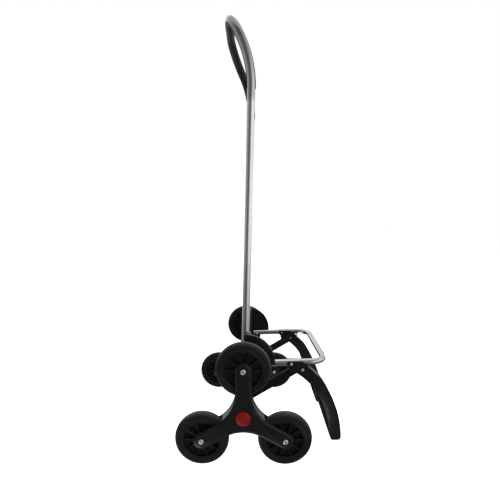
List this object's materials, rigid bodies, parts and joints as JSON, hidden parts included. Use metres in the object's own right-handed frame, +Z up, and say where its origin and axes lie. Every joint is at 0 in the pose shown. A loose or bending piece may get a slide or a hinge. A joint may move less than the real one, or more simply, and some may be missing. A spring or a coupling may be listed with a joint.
{
  "type": "stair-climbing shopping trolley",
  "caption": "Stair-climbing shopping trolley chassis: bent tube handle frame, folding tube platform on drop legs, and star-shaped wheel clusters that turn on a common axle.",
  "frame": {"origin": "on the ground, under the middle of the outer box, with the trolley standing on its wheels and feet", "axes": "+Z up, +X to the platform side, +Y to the trolley's left"},
  "size_m": [0.4076, 0.477, 1.0297],
  "materials": {
    "polished_tube": "bright plated",
    "satin_tube": "satin plated",
    "grip_rubber": "soft matt",
    "plated_steel": "zinc plated",
    "black_plastic": "satin moulded",
    "tyre_rubber": "matt rubber",
    "red_cap": "satin moulded"
  },
  "bodies": {
    "frame": {"handle_frame_tube": "polished_tube", "handle_grip": "grip_rubber", "axle": "plated_steel", "axle_sleeve": "black_plastic", "right_side_bracket": "black_plastic", "right_frame_screw": "plated_steel", "right_hinge_pin": "plated_steel", "right_axle_spacer": "black_plastic", "right_axle_retainer": "plated_steel", "left_side_bracket": "black_plastic", "left_frame_screw": "plated_steel", "left_hinge_pin": "plated_steel", "left_axle_spacer": "black_plastic", "left_axle_retainer": "plated_steel"},
    "platform": {"platform_tube": "satin_tube"},
    "right_leg": {"right_support_leg": "black_plastic", "right_leg_pivot_bolt": "plated_steel", "right_strut_pivot_bolt": "plated_steel"},
    "right_strut": {"right_fold_strut": "black_plastic"},
    "right_star": {"right_star_outer_plate": "black_plastic", "right_star_inner_plate": "black_plastic", "right_hub_cap": "red_cap", "right_wheel_bolts": "plated_steel", "right_wheel_nuts": "plated_steel", "right_wheel_sleeves": "plated_steel"},
    "right_upper_wheel": {"right_upper_tyre": "tyre_rubber", "right_upper_rim": "black_plastic"},
    "right_rear_wheel": {"right_rear_tyre": "tyre_rubber", "right_rear_rim": "black_plastic"},
    "right_front_wheel": {"right_front_tyre": "tyre_rubber", "right_front_rim": "black_plastic"},
    "left_leg": {"left_support_leg": "black_plastic", "left_leg_pivot_bolt": "plated_steel", "left_strut_pivot_bolt": "plated_steel"},
    "left_strut": {"left_fold_strut": "black_plastic"},
    "left_star": {"left_star_outer_plate": "black_plastic", "left_star_inner_plate": "black_plastic", "left_hub_cap": "red_cap", "left_wheel_bolts": "plated_steel", "left_wheel_nuts": "plated_steel", "left_wheel_sleeves": "plated_steel"},
    "left_upper_wheel": {"left_upper_tyre": "tyre_rubber", "left_upper_rim": "black_plastic"},
    "left_rear_wheel": {"left_rear_tyre": "tyre_rubber", "left_rear_rim": "black_plastic"},
    "left_front_wheel": {"left_front_tyre": "tyre_rubber", "left_front_rim": "black_plastic"}
  },
  "joints": [
    {"name": "platform_fold", "type": "hinge", "parent": "frame", "child": "platform", "pos_m": [-0.01065, 0, 0.216], "axis": [0, -1, 0], "range_deg": [0, 88]},
    {"name": "right_leg_fold", "type": "hinge", "parent": "platform", "child": "right_leg", "pos_m": [0.0686, -0.1445, 0.21885], "axis": [0, -1, 0], "range_deg": [-88, 0]},
    {"name": "right_strut_fold", "type": "hinge", "parent": "frame", "child": "right_strut", "pos_m": [-0.04565, -0.1291, 0.11775], "axis": [0, -1, 0], "range_deg": [0, 37.7]},
    {"name": "right_star_spin", "type": "hinge", "parent": "frame", "child": "right_star", "pos_m": [-0.04565, -0.215, 0.11775], "axis": [0, 1, 0], "continuous": true},
    {"name": "right_upper_wheel_spin", "type": "hinge", "parent": "right_star", "child": "right_upper_wheel", "pos_m": [-0.04565, -0.215, 0.22825], "axis": [0, 1, 0], "continuous": true},
    {"name": "right_rear_wheel_spin", "type": "hinge", "parent": "right_star", "child": "right_rear_wheel", "pos_m": [-0.14135, -0.215, 0.0625], "axis": [0, 1, 0], "continuous": true},
    {"name": "right_front_wheel_spin", "type": "hinge", "parent": "right_star", "child": "right_front_wheel", "pos_m": [0.05004, -0.215, 0.0625], "axis": [0, 1, 0], "continuous": true},
    {"name": "left_leg_fold", "type": "hinge", "parent": "platform", "child": "left_leg", "pos_m": [0.0686, 0.1445, 0.21885], "axis": [0, -1, 0], "range_deg": [-88, 0]},
    {"name": "left_strut_fold", "type": "hinge", "parent": "frame", "child": "left_strut", "pos_m": [-0.04565, 0.1291, 0.11775], "axis": [0, -1, 0], "range_deg": [0, 37.7]},
    {"name": "left_star_spin", "type": "hinge", "parent": "frame", "child": "left_star", "pos_m": [-0.04565, 0.215, 0.11775], "axis": [0, 1, 0], "continuous": true},
    {"name": "left_upper_wheel_spin", "type": "hinge", "parent": "left_star", "child": "left_upper_wheel", "pos_m": [-0.04565, 0.215, 0.22825], "axis": [0, 1, 0], "continuous": true},
    {"name": "left_rear_wheel_spin", "type": "hinge", "parent": "left_star", "child": "left_rear_wheel", "pos_m": [-0.14135, 0.215, 0.0625], "axis": [0, 1, 0], "continuous": true},
    {"name": "left_front_wheel_spin", "type": "hinge", "parent": "left_star", "child": "left_front_wheel", "pos_m": [0.05004, 0.215, 0.0625], "axis": [0, 1, 0], "continuous": true}
  ],
  "couplings": [
    {"joint": "right_leg_fold", "follows": "platform_fold", "ratio": -1},
    {"joint": "right_strut_fold", "follows": "platform_fold", "ratio": 0.42831},
    {"joint": "left_leg_fold", "follows": "platform_fold", "ratio": -1},
    {"joint": "left_strut_fold", "follows": "platform_fold", "ratio": 0.42831}
  ]
}
